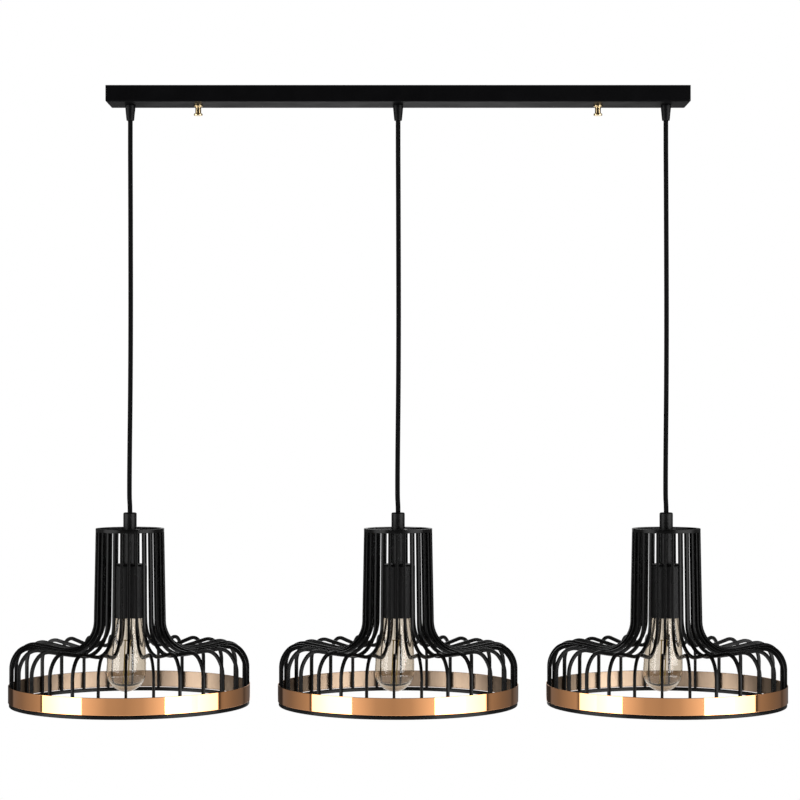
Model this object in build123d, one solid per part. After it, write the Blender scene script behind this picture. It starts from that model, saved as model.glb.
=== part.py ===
# Island chandelier: a black ceiling bar carries three cord pendants in a row. Each pendant is a
# shade of bent flat wires with a copper band round its rim, a lamp holder in a cup and a pear bulb.
# Millimetres, +Z up, X along the bar, ceiling plane at z = 0, the front of the lamp towards -Y.
import math
import os

from build123d import *

# Ceiling bar
bar_length = 870.0
bar_depth = 74.0
bar_height = 24.4
sheet = 1.2
bend_inside = 0.8

# The outer pendants' distance from the bar's ends, and each shade's turn on its cord at rest
gland_end_margin = 33.0
shade_turns = {"left": 6.7, "middle": 0.0, "right": -6.7}

# Ceiling strap, its studs and the thumb nuts that hold the bar up
strap_width = 25.0
strap_thickness = 2.5
strap_end_margin = 20.0
ceiling_hole_spacing = 200.0
ceiling_hole_r = 2.75
stud_spacing = 600.0
stud_r = 2.5
stud_head_r = 4.25
stud_head_height = 1.2
stud_engagement = 13.0
nut_height = 16.5
nut_top_flange_r = 6.75
nut_waist_r = 4.2
nut_bottom_flange_r = 6.5
nut_flange_height = 3.0
nut_edge = 0.6
nut_blind_gap = 1.0

# Terminal block, its screws and the earth screw
block_length = 40.0
block_width = 24.0
block_height = 13.0
block_x = 80.0
block_poles = 3
block_pole_pitch = 11.0
block_row_pitch = 16.0
screw_r = 1.75
screw_length = 6.0
screw_head_r = 3.2
screw_head_height = 1.8
earth_x = -60.0

# Cord and the glands that grip it
cord_d = 7.2
cord_drop = 587.9
gland_height = 24.0
gland_shoulder_r = 7.8
gland_shoulder_height = 2.5
gland_bend_r = 7.2
gland_bend_drop = 8.5
gland_nose_r = 6.0
gland_nose_height = 3.0
gland_tip_r = 5.6
gland_edge = 0.8
gland_thread_r = 5.0
gland_thread_height = 7.0
gland_nut_height = 4.0
gland_nut_r = 8.5

# Leads inside the bar, from each gland to the terminal block
tail_stub_above_thread = 1.0
lead_d = 3.2
lead_depth = 7.0
lead_sweep = 40.0
lead_lanes = {"left": -8.0, "middle": 6.0, "right": -8.0}

# Cord grip, hollow nipple and stem tube
grip_r = 10.0
grip_height = 23.7
grip_edge = 2.2
grip_thread_depth = 12.0
grip_screw_r = 1.5
grip_screw_drop = 6.5
grip_screw_recess = 0.6
nipple_r = 5.0
stem_r = 9.0
stem_wall = 1.5
stem_length = 47.8

# Top plate: a flat ring with arms to a hub
plate_thickness = 5.5
plate_ring_width = 5.4
plate_hub_r = 10.0
plate_arm_width = 8.0
plate_arm_count = 3
plate_first_arm = 15.0

# Shade wires: a flat wire bent in one plane, given by the corners of its centre line. The neck
# runs down from the top plate, the hump rises from it, and the shoulder falls to the upright rim.
wire_count = 28
wire_first_angle = -1.85
wire_width = 3.9
wire_thickness = 5.4
wire_top_r = 48.5
wire_neck_r = 52.0
wire_neck_drop = 187.4
wire_hump_inset = 18.4
wire_hump_rise = 19.4
wire_rim_r = 176.1
wire_shoulder_fall = 21.8
wire_drop = 252.7
wire_bends = (45.7, 23.5, 38.5)
wire_trim = 2.0

# Hoop below the wires and copper band round them
hoop_height = 5.6
band_height = 25.2
band_wall = 1.2
band_above_hoop = 0.4

# Cup and lamp holder
cup_r = 25.5
cup_height = 80.1
cup_wall = 1.0
cup_edge = 4.0
holder_r = 20.0
holder_height = 54.0
holder_edge = 3.0
holder_entry_depth = 12.0
socket_depth = 30.0
socket_shell_wall = 0.4
socket_play = 0.9
socket_shell_length = 24.0
contact_r = 4.0
contact_thickness = 1.0

# Bulb: screw cap, thin glass and a bundle of straight filaments on a glass stem. It stands in its
# socket at a small angle, within the play of the thread.
bulb_lean = 2.6
cap_r = 13.2
cap_length = 25.0
cap_wall = 0.4
cap_shoulder_height = 3.0
cap_insulator_r = 9.0
cap_tip_r = 4.8
cap_tip_height = 2.0
cap_tip_gap = 0.3
glass_r = 29.5
glass_wall = 1.0
glass_seat = 4.0
glass_length = 142.2
glass_mouth_drop = 30.0
glass_mouth_r = 20.6
glass_side_drop = 70.0
glass_side_r = 27.3
mount_r = 4.5
mount_tip_r = 2.5
mount_length = 83.0
filament_count = 4
filament_r = 0.9
filament_circle_r = 5.0
filament_length = 64.0
filament_disc_r = 6.4
filament_disc_height = 0.8

# Clearances: between flat-walled fits, threads that turn, and curved faces on different pieces
fit = 0.05
thread_clearance = 0.08
hole_clearance = 0.25
running_gap = 0.3
wire_gap = 0.1

# Levels down one pendant, from the ceiling plane
cord_r = cord_d / 2
bar_bottom = -bar_height
bar_floor = bar_bottom + sheet
gland_bottom = bar_bottom - gland_height
grip_top = gland_bottom - cord_drop
plate_top = grip_top - grip_height
wire_top = plate_top - plate_thickness
hoop_top = wire_top - wire_drop
cup_top = wire_top - stem_length
cup_mouth = cup_top - cup_height
holder_top = cup_top - cup_wall
holder_bottom = holder_top - holder_height
socket_top = holder_bottom + socket_depth
cap_top = socket_top - contact_thickness - cap_tip_gap - cap_tip_height
cap_bottom = cap_top - cap_length
glass_top = cap_bottom + glass_seat
glass_neck_r = cap_r - cap_wall - fit
glass_tip = glass_top - glass_length
swing_pivot = gland_bottom - running_gap - cord_r

pendant_pitch = bar_length / 2 - gland_end_margin
pendant_x = {"left": -pendant_pitch, "middle": 0.0, "right": pendant_pitch}
stud_xs = (-stud_spacing / 2, stud_spacing / 2)
stud_bottom = bar_bottom - stud_engagement
wire_outer_r = wire_rim_r + wire_thickness / 2
wire_inner_r = wire_rim_r - wire_thickness / 2
nipple_bore_r = cord_r + fit
nipple_top = plate_top + grip_thread_depth
nipple_bottom = holder_top - holder_entry_depth


def turned(*points):
    """A solid of revolution about Z from (radius, height) corners."""
    return revolve(Plane.XZ * make_face(Polyline(*points, close=True)), Axis.Z)


def disc(radius, top, bottom):
    """An upright cylinder between two heights."""
    return Pos(0, 0, (top + bottom) / 2) * Cylinder(radius, top - bottom)


def ring(outer_r, inner_r, top, bottom):
    """An upright tube between two heights."""
    return disc(outer_r, top, bottom) - disc(inner_r, top, bottom)


def rim_edges(solid, height):
    """The round edges of a solid that lie at one height."""
    tolerance = 1e-4
    circles = solid.edges().filter_by(GeomType.CIRCLE)
    return circles.filter_by_position(Axis.Z, height - tolerance, height + tolerance)


def tray(length, depth, top, bottom, bend):
    """A block whose upright and lower edges are rounded, as a folded sheet's are."""
    block = Pos(0, 0, (top + bottom) / 2) * Box(length, depth, top - bottom)
    lower = block.faces().sort_by(Axis.Z)[0].edges()
    return fillet(block.edges().filter_by(Axis.Z) + lower, bend)


def canopy_shell():
    outer = tray(bar_length, bar_depth, 0, bar_bottom, bend_inside + sheet)
    inner = tray(bar_length - 2 * sheet, bar_depth - 2 * sheet, 0, bar_floor, bend_inside)
    shell = outer - inner
    for x in pendant_x.values():
        shell -= Pos(x, 0, 0) * disc(gland_thread_r + hole_clearance, 0, bar_bottom)
    for x in stud_xs:
        shell -= Pos(x, 0, 0) * disc(stud_r + hole_clearance, 0, bar_bottom)
    return shell


def ceiling_strap():
    length = stud_spacing + 2 * strap_end_margin
    strap = Pos(0, 0, -strap_thickness / 2) * Box(length, strap_width, strap_thickness)
    strap = fillet(strap.edges().filter_by(Axis.Z), strap_width / 4)
    for x in (-ceiling_hole_spacing / 2, ceiling_hole_spacing / 2):
        strap -= Pos(x, 0, 0) * disc(ceiling_hole_r, 0, -strap_thickness)
    for x in stud_xs:
        strap -= Pos(x, 0, 0) * disc(stud_head_r + fit, 0, -stud_head_height)
        strap -= Pos(x, 0, 0) * disc(stud_r + fit, 0, -strap_thickness)
    for x in (block_x, earth_x):
        strap -= Pos(x, 0, 0) * disc(screw_r + fit, 0, -strap_thickness)
    return strap


def strap_studs():
    stud = disc(stud_head_r, 0, -stud_head_height) + disc(stud_r, 0, stud_bottom)
    return Compound(children=[Pos(x, 0, 0) * stud for x in stud_xs])


def thumb_nut(x):
    top = bar_bottom
    bottom = top - nut_height
    waist_top = top - nut_flange_height
    waist_bottom = bottom + nut_flange_height
    slope = nut_bottom_flange_r - nut_waist_r
    nut = turned(
        (0, top),
        (nut_top_flange_r, top),
        (nut_top_flange_r, waist_top),
        (nut_waist_r, waist_top - slope / 2),
        (nut_waist_r, waist_bottom + slope / 2),
        (nut_bottom_flange_r, waist_bottom),
        (nut_bottom_flange_r, bottom),
        (0, bottom),
    )
    nut = fillet(rim_edges(nut, bottom) + rim_edges(nut, waist_top), nut_edge)
    return Pos(x, 0, 0) * (nut - disc(stud_r + thread_clearance, top, stud_bottom - nut_blind_gap))


def terminal_pole_points():
    first = block_x - (block_poles - 1) * block_pole_pitch / 2
    for pole in range(block_poles):
        for row in (-1, 1):
            yield first + pole * block_pole_pitch, row * block_row_pitch / 2


def terminal_block():
    top = -strap_thickness
    bottom = top - block_height
    block = Pos(block_x, 0, (top + bottom) / 2) * Box(block_length, block_width, block_height)
    block -= Pos(block_x, 0, 0) * disc(screw_r + fit, top, bottom)
    for x, y in terminal_pole_points():
        block -= Pos(x, y, 0) * disc(screw_r + fit, bottom + screw_length, bottom)
    return block


def pan_screw(seat, length):
    """A screw that points up from its seat, with its head below."""
    return disc(screw_r, seat + length, seat) + disc(screw_head_r, seat, seat - screw_head_height)


def terminal_screws():
    bottom = -strap_thickness - block_height
    screws = [Pos(block_x, 0, 0) * pan_screw(bottom, block_height + strap_thickness)]
    screws.append(Pos(earth_x, 0, 0) * pan_screw(-strap_thickness, strap_thickness))
    for x, y in terminal_pole_points():
        screws.append(Pos(x, y, 0) * disc(screw_r, bottom + screw_length, bottom))
    return Compound(children=screws)


def gland():
    body = turned(
        (0, bar_bottom),
        (gland_shoulder_r, bar_bottom),
        (gland_shoulder_r, bar_bottom - gland_shoulder_height),
        (gland_bend_r, bar_bottom - gland_bend_drop),
        (gland_nose_r, gland_bottom + gland_nose_height),
        (gland_tip_r, gland_bottom),
        (0, gland_bottom),
    )
    body = fillet(rim_edges(body, bar_bottom), gland_edge)
    thread = disc(gland_thread_r, bar_bottom + gland_thread_height, bar_bottom)
    bore = disc(cord_r + fit, bar_bottom + gland_thread_height, gland_bottom)
    return body + thread - bore


def gland_nut():
    prism = extrude(RegularPolygon(gland_nut_r, 6), gland_nut_height)
    return Pos(0, 0, bar_floor) * prism - disc(gland_thread_r + fit, 0, bar_bottom)


def cord_tail(side):
    """The cord's end inside the gland, and the lead from it to the terminal block."""
    x = pendant_x[side]
    stub_top = bar_bottom + gland_thread_height + tail_stub_above_thread
    stub = Pos(x, 0, 0) * disc(cord_r, stub_top, gland_bottom)
    end_x = block_x - math.copysign(block_length / 2, block_x - x)
    sweep_x = x + math.copysign(lead_sweep, end_x - x)
    lane = lead_lanes[side]
    level = -lead_depth
    points = [(x, 0, stub_top), (x, 0, level), (sweep_x, lane, level), (end_x, lane, level)]
    runs = [math.dist(a, b) for a, b in zip(points, points[1:])]
    radii = []
    for index in (1, 2):
        before = Vector(*points[index]) - Vector(*points[index - 1])
        after = Vector(*points[index + 1]) - Vector(*points[index])
        half_turn = math.radians(before.get_angle(after)) / 2
        radii.append(0.45 * min(runs[index - 1], runs[index]) / math.tan(half_turn))
    print(side, "lead bends at radii", [round(radius, 1) for radius in radii])
    path = FilletPolyline(*points, radius=radii)
    section = Plane(path @ 0, z_dir=path % 0) * Circle(lead_d / 2)
    return [stub, sweep(section, path=path)]


def cord():
    """The free cord: its upper end is a dome about the point that it swings on."""
    return disc(cord_r, swing_pivot, grip_top) + Pos(0, 0, swing_pivot) * Sphere(cord_r)


def cord_grip():
    grip = disc(grip_r, grip_top, plate_top)
    grip = fillet(rim_edges(grip, grip_top), grip_edge)
    grip -= disc(cord_r + fit, grip_top, plate_top)
    grip -= disc(nipple_r + fit, nipple_top, plate_top)
    side_hole = Pos(0, grip_r / 2, grip_top - grip_screw_drop) * Rot(90, 0, 0)
    return grip - side_hole * Cylinder(grip_screw_r + fit, grip_r)


def grip_screw():
    start = cord_r + fit
    end = grip_r - grip_screw_recess
    place = Pos(0, (start + end) / 2, grip_top - grip_screw_drop) * Rot(90, 0, 0)
    return place * Cylinder(grip_screw_r, end - start)


def nipple():
    return ring(nipple_r, nipple_bore_r, nipple_top, nipple_bottom)


def inner_lead():
    return disc(cord_r, grip_top, nipple_bottom)


def stem_tube():
    return ring(stem_r, stem_r - stem_wall, wire_top, cup_top)


def cage_top_plate():
    outer_r = wire_top_r + wire_thickness / 2
    inner_r = outer_r - plate_ring_width
    plate = ring(outer_r, inner_r, plate_top, wire_top)
    arm_length = outer_r - plate_ring_width / 2
    arm = Pos(0, -arm_length / 2, (plate_top + wire_top) / 2)
    arm *= Box(plate_arm_width, arm_length, plate_thickness)
    for number in range(plate_arm_count):
        plate += Rot(0, 0, plate_first_arm + number * 360 / plate_arm_count) * arm
    plate += disc(plate_hub_r, plate_top, wire_top)
    return plate - disc(nipple_r + fit, plate_top, wire_top)


def cage_wires():
    slope = (wire_neck_r - wire_top_r) / wire_neck_drop
    neck = wire_top - wire_neck_drop
    hump = neck + wire_hump_rise
    corners = [
        (wire_top_r - slope * wire_trim, 0, wire_top + wire_trim),
        (wire_neck_r, 0, neck),
        (wire_rim_r - wire_hump_inset, 0, hump),
        (wire_rim_r, 0, hump - wire_shoulder_fall),
        (wire_rim_r, 0, hoop_top),
    ]
    path = FilletPolyline(*corners, radius=list(wire_bends))
    end = Plane(path @ 0, x_dir=(0, 1, 0), z_dir=path % 0)
    wire = sweep(end * Rectangle(wire_width, wire_thickness), path=path)
    wire = split(wire, Plane.XY.offset(wire_top), keep=Keep.BOTTOM)
    step = 360 / wire_count
    turns = [wire_first_angle - 90 + number * step for number in range(wire_count)]
    return Compound(children=[Rot(0, 0, turn) * wire for turn in turns])


def cage_hoop():
    return ring(wire_outer_r, wire_inner_r, hoop_top, hoop_top - hoop_height)


def copper_band():
    inner_r = wire_outer_r + wire_gap
    bottom = hoop_top + band_above_hoop
    band = ring(inner_r + band_wall, inner_r, bottom + band_height, bottom)
    rims = rim_edges(band, bottom + band_height) + rim_edges(band, bottom)
    return fillet(rims, band_wall / 3)


def holder_cup():
    outer = disc(cup_r, cup_top, cup_mouth)
    outer = fillet(rim_edges(outer, cup_top), cup_edge)
    inner = disc(cup_r - cup_wall, holder_top, cup_mouth)
    inner = fillet(rim_edges(inner, holder_top), cup_edge - cup_wall)
    return outer - inner - disc(nipple_r + fit, cup_top, holder_top)


def lamp_holder():
    body = disc(holder_r, holder_top, holder_bottom)
    body = fillet(rim_edges(body, holder_top), holder_edge)
    shell_r = cap_r + socket_play + socket_shell_wall + fit
    body -= disc(shell_r, socket_top, holder_bottom)
    return body - disc(nipple_r + fit, holder_top, nipple_bottom)


def socket_contacts():
    inner_r = cap_r + socket_play
    shell_top = socket_top - contact_thickness
    shell = ring(inner_r + socket_shell_wall, inner_r, shell_top, shell_top - socket_shell_length)
    centre = disc(contact_r, socket_top, socket_top - contact_thickness)
    return Compound(children=[shell, centre])


def bulb_cap():
    shoulder = cap_top - cap_shoulder_height
    cap = turned(
        (0, cap_top + cap_tip_height),
        (cap_tip_r, cap_top + cap_tip_height),
        (cap_insulator_r, cap_top),
        (cap_r, shoulder),
        (cap_r, cap_bottom),
        (cap_r - cap_wall, cap_bottom),
        (cap_r - cap_wall, shoulder),
        (0, shoulder),
    )
    return cap


def glass_outline(inset):
    """Half of the bulb's outline from its neck to its tip, moved inwards by a wall."""
    neck = (glass_neck_r - inset, 0, glass_top)
    throat = (glass_neck_r - inset, 0, cap_bottom)
    mouth = (glass_mouth_r - inset, 0, cap_bottom - glass_mouth_drop)
    side = (glass_side_r - inset, 0, cap_bottom - glass_side_drop)
    belly = (glass_r - inset, 0, glass_tip + glass_r)
    tip = (0, 0, glass_tip + inset)
    flank = Spline(throat, mouth, side, belly, tangents=((0, 0, -1), (0, 0, -1)))
    bottom = TangentArc(belly, tip, tangent=(0, 0, -1))
    return Line(neck, throat) + flank + bottom, neck, tip


def bulb_glass():
    outside, outer_neck, outer_tip = glass_outline(0)
    inside, inner_neck, inner_tip = glass_outline(glass_wall)
    section = outside + inside + Line(outer_neck, inner_neck) + Line(outer_tip, inner_tip)
    return revolve(make_face(section.edges()), Axis.Z)


def bulb_filament():
    mount_top = cap_top - cap_shoulder_height
    mount_tip = mount_top - mount_length
    frame = Pos(0, 0, (mount_top + mount_tip) / 2) * Cone(mount_tip_r, mount_r, mount_length)
    filament_top = mount_tip - filament_disc_height
    filament_bottom = filament_top - filament_length
    frame += disc(filament_disc_r, mount_tip, filament_top)
    frame += disc(filament_disc_r, filament_bottom, filament_bottom - filament_disc_height)
    for number in range(filament_count):
        turn = Rot(0, 0, (number + 0.5) * 360 / filament_count)
        frame += turn * Pos(filament_circle_r, 0, 0) * disc(filament_r, filament_top, filament_bottom)
    return frame


def lean(shape):
    """A bulb piece turned about the middle of its cap, towards the left end of the bar."""
    pivot = (cap_top + cap_bottom) / 2
    return Pos(0, 0, pivot) * Rot(0, bulb_lean, 0) * Pos(0, 0, -pivot) * shape


def write(name, shape):
    export_step(shape, f"parts/{name}.step")


os.makedirs("parts", exist_ok=True)

write("canopy_shell", canopy_shell())
write("ceiling_strap", ceiling_strap())
write("strap_studs", strap_studs())
write("left_thumb_nut", thumb_nut(stud_xs[0]))
write("right_thumb_nut", thumb_nut(stud_xs[1]))
write("terminal_block", terminal_block())
write("terminal_screws", terminal_screws())
for side, x in pendant_x.items():
    write(f"{side}_gland", Pos(x, 0, 0) * gland())
write("gland_nuts", Compound(children=[Pos(x, 0, 0) * gland_nut() for x in pendant_x.values()]))
write("cord_tails", Compound(children=[piece for side in pendant_x for piece in cord_tail(side)]))

pendant_pieces = {
    "cord": cord(),
    "cord_grip": cord_grip(),
    "grip_screw": grip_screw(),
    "nipple": nipple(),
    "inner_lead": inner_lead(),
    "stem_tube": stem_tube(),
    "cage_top_plate": cage_top_plate(),
    "cage_wires": cage_wires(),
    "cage_hoop": cage_hoop(),
    "copper_band": copper_band(),
    "holder_cup": holder_cup(),
    "lamp_holder": lamp_holder(),
    "socket_contacts": socket_contacts(),
    "bulb_cap": lean(bulb_cap()),
    "bulb_glass": lean(bulb_glass()),
    "bulb_filament": lean(bulb_filament()),
}
for side, x in pendant_x.items():
    for piece, shape in pendant_pieces.items():
        write(f"{side}_{piece}", Pos(x, 0, 0) * Rot(0, 0, shade_turns[side]) * shape)

print("swing pivot at z", round(swing_pivot, 2), "grip top at z", round(grip_top, 2))
print("cup mouth at z", round(cup_mouth, 2), "bulb tip at z", round(glass_tip, 2))
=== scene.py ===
"""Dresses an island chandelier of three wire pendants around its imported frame.

Metres, +Z up, X along the ceiling bar, the front of the lamp towards -Y. Levels and radii come from
the frame's own nodes, so every new piece sits where the part says.
"""
import math

import bmesh
import bpy
from bpy.props import FloatProperty, FloatVectorProperty, IntProperty, PointerProperty
from mathutils import Euler, Matrix, Vector


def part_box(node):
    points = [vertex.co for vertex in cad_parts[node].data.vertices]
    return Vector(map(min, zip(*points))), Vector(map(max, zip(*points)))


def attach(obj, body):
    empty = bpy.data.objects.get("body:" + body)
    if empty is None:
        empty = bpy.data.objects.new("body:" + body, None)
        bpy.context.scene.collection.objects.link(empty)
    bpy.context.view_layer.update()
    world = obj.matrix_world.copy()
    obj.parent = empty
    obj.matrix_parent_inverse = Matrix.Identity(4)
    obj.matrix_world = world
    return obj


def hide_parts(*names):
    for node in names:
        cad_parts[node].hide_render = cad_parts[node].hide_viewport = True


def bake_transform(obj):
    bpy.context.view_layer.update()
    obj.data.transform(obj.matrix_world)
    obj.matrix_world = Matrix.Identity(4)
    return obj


bl_info = {
    "name": "Island chandelier",
    "version": (1, 0, 0),
    "blender": (4, 5, 0),
    "location": "3D View > Sidebar > Chandelier",
    "description": "Builds the looks of a three-pendant wire chandelier on its packed frame",
    "category": "Object",
}

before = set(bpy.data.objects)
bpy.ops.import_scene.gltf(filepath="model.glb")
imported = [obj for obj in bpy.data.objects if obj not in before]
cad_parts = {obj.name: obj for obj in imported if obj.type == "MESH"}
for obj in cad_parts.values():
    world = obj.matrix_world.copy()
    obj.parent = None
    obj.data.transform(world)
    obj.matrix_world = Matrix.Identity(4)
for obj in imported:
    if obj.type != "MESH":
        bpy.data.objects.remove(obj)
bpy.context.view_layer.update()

SIDES = ("left", "middle", "right")
SHADE_TURNS = {"left": 6.7, "middle": 0.0, "right": -6.7}
FRONT = math.radians(-90)
SHARP_ANGLE = math.radians(35)
# From the top of the socket's contacts down to the tip of the bulb's cap
CONTACT_SEAT = 0.0013


def top_of(node):
    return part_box(node)[1].z


def bottom_of(node):
    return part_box(node)[0].z


def centre_x(node):
    low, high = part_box(node)
    return (low.x + high.x) / 2


def radius_of(node):
    low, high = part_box(node)
    return (high.y - low.y) / 2


PENDANT_X = {side: centre_x(f"{side}_gland") for side in SIDES}
WIRE_TOP = bottom_of("middle_cage_top_plate")
HOOP_TOP = top_of("middle_cage_hoop")
GLAND_TIP = bottom_of("middle_gland")
GRIP_TOP = top_of("middle_cord_grip")
CAP_TIP = top_of("middle_socket_contacts") - CONTACT_SEAT


def length(name, description, default):
    return FloatProperty(name=name, description=description, default=default, min=0.0,
                         precision=4, unit="LENGTH")


def angle_setting(name, description, default):
    return FloatProperty(name=name, description=description, default=default, subtype="ANGLE",
                         unit="ROTATION")


def level_setting(name, description, default):
    return FloatProperty(name=name, description=description, default=default)


def colour(name, description, default):
    return FloatVectorProperty(name=name, description=description, default=default, size=3,
                               min=0.0, max=1.0, subtype="COLOR")


class ShadeSizes(bpy.types.PropertyGroup):
    """Sizes of one wire shade"""

    wire_count: IntProperty(name="Wires", description="Number of wires in a shade", default=28, min=3)
    wire_width: length("Wire width", "Width of a wire along the rim", 0.0039)
    wire_thickness: length("Wire thickness", "Thickness of a wire in its bending plane", 0.0054)
    wire_edge: length("Wire edge", "Rounding of a wire's long edges", 0.001)
    first_wire: angle_setting("First wire", "Turn of the front wire about the pendant", math.radians(-1.85))
    top_radius: length("Top radius", "Wire centre below the top plate", 0.0485)
    neck_radius: length("Neck radius", "Wire centre at the corner of the neck", 0.0520)
    neck_drop: length("Neck drop", "Neck corner below the top plate", 0.1874)
    hump_inset: length("Hump inset", "Hump corner inside the rim", 0.0184)
    hump_rise: length("Hump rise", "Hump corner above the neck corner", 0.0194)
    shoulder_fall: length("Shoulder fall", "Shoulder corner below the hump corner", 0.0218)
    neck_bend: length("Neck bend", "Bend radius at the neck", 0.0457)
    hump_bend: length("Hump bend", "Bend radius at the hump", 0.0235)
    shoulder_bend: length("Shoulder bend", "Bend radius at the shoulder", 0.0385)
    hoop_edge: length("Hoop edge", "Rounding of the hoop's edges", 0.0011)
    band_edge: length("Band edge", "Rounding of the copper band's edges", 0.00058)
    plate_edge: length("Plate edge", "Rounding of the top plate's edges", 0.0006)


class FittingSizes(bpy.types.PropertyGroup):
    """Sizes of the fittings along a pendant and on the bar"""

    cord_diameter: length("Cord", "Diameter of the textile cord", 0.0072)
    lead_diameter: length("Lead", "Diameter of a lead inside the bar", 0.0032)
    cup_edge: length("Cup edge", "Rounding of the cup's upper edge", 0.004)
    cup_wall: length("Cup wall", "Thickness of the cup's wall", 0.001)
    stem_wall: length("Stem wall", "Thickness of the stem tube's wall", 0.0015)
    thread_pitch: length("Cap pitch", "Pitch of the bulb cap's thread", 0.0036)
    thread_depth: length("Cap thread", "Depth of the bulb cap's thread", 0.0008)
    glass_wall: length("Glass wall", "Thickness of the bulb's glass", 0.001)
    filament_radius: length("Filament", "Radius of one filament", 0.0009)
    filament_circle: length("Filament circle", "Radius of the circle of filaments", 0.005)
    cap_length: length("Cap length", "Length of the bulb's screw shell", 0.025)
    glass_length: length("Glass length", "Length of the bulb's glass", 0.1422)
    bulb_lean: angle_setting("Bulb lean", "Angle of the bulb in its socket, to the left", math.radians(2.6))


class FinishColours(bpy.types.PropertyGroup):
    """Colours of the chandelier's finishes"""

    bar_coat: colour("Bar coat", "Satin powder coat of the ceiling bar", (0.0036, 0.0036, 0.004))
    wire_coat: colour("Wire coat", "Satin powder coat of the shade's wires", (0.0022, 0.0021, 0.0021))
    tube_coat: colour("Tube coat", "Matt paint of the cup, stem and grip", (0.0032, 0.0031, 0.0032))
    copper: colour("Copper", "Polished copper outside the band", (0.88, 0.41, 0.175))
    copper_inside: colour("Copper inside", "Dull plate inside the band", (0.31, 0.226, 0.16))
    brass: colour("Brass", "Turned brass of the thumb nuts", (0.78, 0.6, 0.34))
    braid: colour("Braid", "Textile braid of the cords", (0.004, 0.004, 0.0042))
    amber: colour("Amber", "Body colour of the bulb's glass", (0.52, 0.37, 0.14))
    filament: colour("Filament", "Coating of the filaments", (0.5, 0.36, 0.07))


class StageSettings(bpy.types.PropertyGroup):
    """Camera, light and floor"""

    camera_distance: length("Camera distance", "Camera in front of the pendants", 3.45)
    camera_side: length("Camera side", "Camera to the right of the middle pendant", 0.00285)
    camera_drop: length("Camera drop", "Camera below the ceiling", 0.4932)
    camera_pitch: angle_setting("Camera pitch", "Upward tilt of the camera", math.atan(17 / 2300))
    lens: FloatProperty(name="Lens", description="Focal length", default=103.5, unit="CAMERA")
    floor_drop: length("Floor drop", "Floor below the ceiling", 2.5)
    floor_radius: length("Floor radius", "Radius of the round floor", 4.5)
    softbox_glint: level_setting("Softbox glint", "Softbox level in polished metal", 5.6)
    softbox_light: level_setting("Softbox light", "Softbox level on matt surfaces", 2.2)
    room_light: level_setting("Room light", "Level of the room's even light", 0.5)


class Tone:
    """A shader value. Sums on it add Math nodes to its own tree."""

    def __init__(self, finish, socket):
        self.finish = finish
        self.socket = socket

    def maths(self, operation, *terms):
        return self.finish.node("ShaderNodeMath", {"operation": operation}, dict(enumerate(terms)))

    def __add__(self, other):
        return self.maths("ADD", self, other)

    __radd__ = __add__

    def __sub__(self, other):
        return self.maths("SUBTRACT", self, other)

    def __rsub__(self, other):
        return self.maths("SUBTRACT", other, self)

    def __mul__(self, other):
        return self.maths("MULTIPLY", self, other)

    __rmul__ = __mul__


class Finish:
    """One procedural material or world, built node by node."""

    def __init__(self, owner):
        owner.use_nodes = True
        self.owner = owner
        self.tree = owner.node_tree
        self.tree.nodes.clear()

    def node(self, kind, settings=None, values=None, output=0):
        made = self.tree.nodes.new(kind)
        for name, value in (settings or {}).items():
            setattr(made, name, value)
        for name, value in (values or {}).items():
            if isinstance(value, Tone):
                self.tree.links.new(value.socket, made.inputs[name])
            else:
                made.inputs[name].default_value = value
        return Tone(self, made.outputs[output])

    def place(self):
        return self.node("ShaderNodeTexCoord", output="Object")

    def axis(self, vector, name):
        return self.node("ShaderNodeSeparateXYZ", values={0: vector}, output=name)

    def noise(self, vector, scale, detail):
        return self.node("ShaderNodeTexNoise", values={"Vector": vector, "Scale": scale, "Detail": detail})

    def stretched_noise(self, vector, scale, detail):
        """Noise with a scale of its own along each axis."""
        stretched = self.node("ShaderNodeMapping", values={"Vector": vector, "Scale": scale})
        return self.noise(stretched, 1.0, detail)

    def spread(self, value, low, high, to_low, to_high):
        values = {"Value": value, 1: low, 2: high, 3: to_low, 4: to_high}
        return self.node("ShaderNodeMapRange", {"clamp": True}, values)

    def mix(self, factor, first, second):
        colours = [c if isinstance(c, Tone) else opaque(c) for c in (first, second)]
        values = {0: factor, 6: colours[0], 7: colours[1]}
        return self.node("ShaderNodeMix", {"data_type": "RGBA"}, values, output=2)

    def tint(self, value, low, high, rgb, at_low, at_high):
        """A colour between two shades of itself, by where a value lies between low and high."""
        share = self.spread(value, low, high, 0.0, 1.0)
        return self.mix(share, shade_of(rgb, at_low), shade_of(rgb, at_high))

    def ripple(self, vector, waves):
        """Even waves along Z."""
        height = self.axis(vector, "Z")
        return height.maths("SINE", height * waves)

    def bump(self, height, distance, strength):
        values = {"Height": height, "Distance": distance, "Strength": strength}
        return self.node("ShaderNodeBump", values=values)

    def surface(self, **values):
        named = {name.replace("_", " "): value for name, value in values.items()}
        shader = self.node("ShaderNodeBsdfPrincipled", values=named)
        return self.close(shader)

    def close(self, shader, kind="ShaderNodeOutputMaterial"):
        made = self.tree.nodes.new(kind)
        self.tree.links.new(shader.socket, made.inputs["Surface"])
        return self.owner


def new_finish(name):
    return Finish(bpy.data.materials.new(name))


def opaque(rgb):
    return tuple(rgb) + (1.0,)


def shade_of(rgb, share):
    return tuple(channel * share for channel in rgb)


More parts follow.
